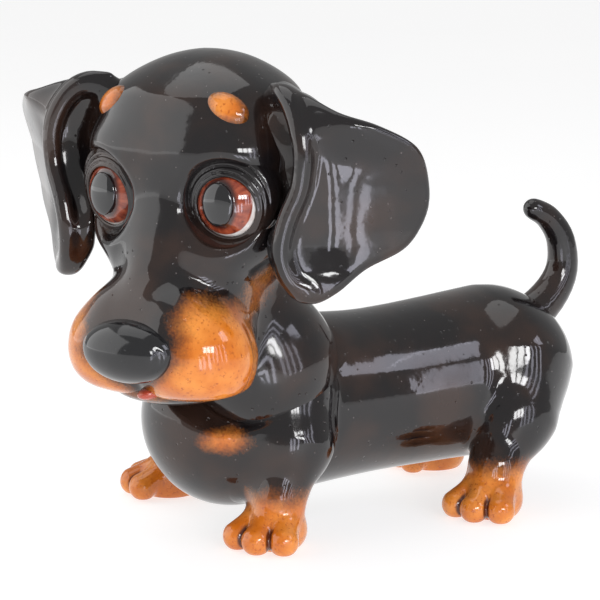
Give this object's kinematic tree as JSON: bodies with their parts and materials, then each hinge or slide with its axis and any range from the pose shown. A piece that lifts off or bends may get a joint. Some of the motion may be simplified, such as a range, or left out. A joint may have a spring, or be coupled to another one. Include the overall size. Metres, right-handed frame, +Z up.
{
  "type": "ceramic dog figurine",
  "caption": "Glazed ceramic dachshund figurine that stands on its own paws, with a hollow body and a loose hollow head that turns on a round neck spigot.",
  "frame": {"origin": "centre of the bounding box, on the ground under the paws", "axes": "+Z up, the body faces -Y, the dog's left side is +X"},
  "size_m": [0.1423, 0.2005, 0.161],
  "materials": {
    "black_glaze": "high-gloss black-brown glaze with fine pinholes",
    "tan_glaze": "glossy tan glaze, airbrushed, darker in the creases",
    "nose_glaze": "high-gloss black glaze",
    "eye_white": "glossy white glaze",
    "iris_glaze": "glossy red-brown glaze",
    "pupil_glaze": "high-gloss black glaze",
    "lip_glaze": "glossy pink-red glaze"
  },
  "bodies": {
    "body": {"torso_shell": "black_glaze", "front_left_leg": "black_glaze", "front_right_leg": "black_glaze", "rear_left_leg": "black_glaze", "rear_right_leg": "black_glaze", "front_left_paw": "tan_glaze", "front_right_paw": "tan_glaze", "rear_left_paw": "tan_glaze", "rear_right_paw": "tan_glaze", "tail": "black_glaze", "neck_socket": "black_glaze"},
    "head": {"head_shell": "black_glaze", "neck_spigot": "black_glaze", "lower_jaw": "tan_glaze", "tongue": "lip_glaze", "nose": "nose_glaze", "left_ear": "black_glaze", "right_ear": "black_glaze", "left_eyeball": "eye_white", "right_eyeball": "eye_white", "left_iris": "iris_glaze", "right_iris": "iris_glaze", "left_pupil": "pupil_glaze", "right_pupil": "pupil_glaze", "left_upper_lid": "black_glaze", "right_upper_lid": "black_glaze", "left_lower_lid": "black_glaze", "right_lower_lid": "black_glaze", "left_brow_spot": "tan_glaze", "right_brow_spot": "tan_glaze"}
  },
  "joints": [
    {"name": "head_turn", "type": "hinge", "parent": "body", "child": "head", "pos_m": [-0.0073, -0.0247, 0.042], "axis": [0.613, -0.299, 0.7313], "range_deg": [-12, 12]}
  ]
}
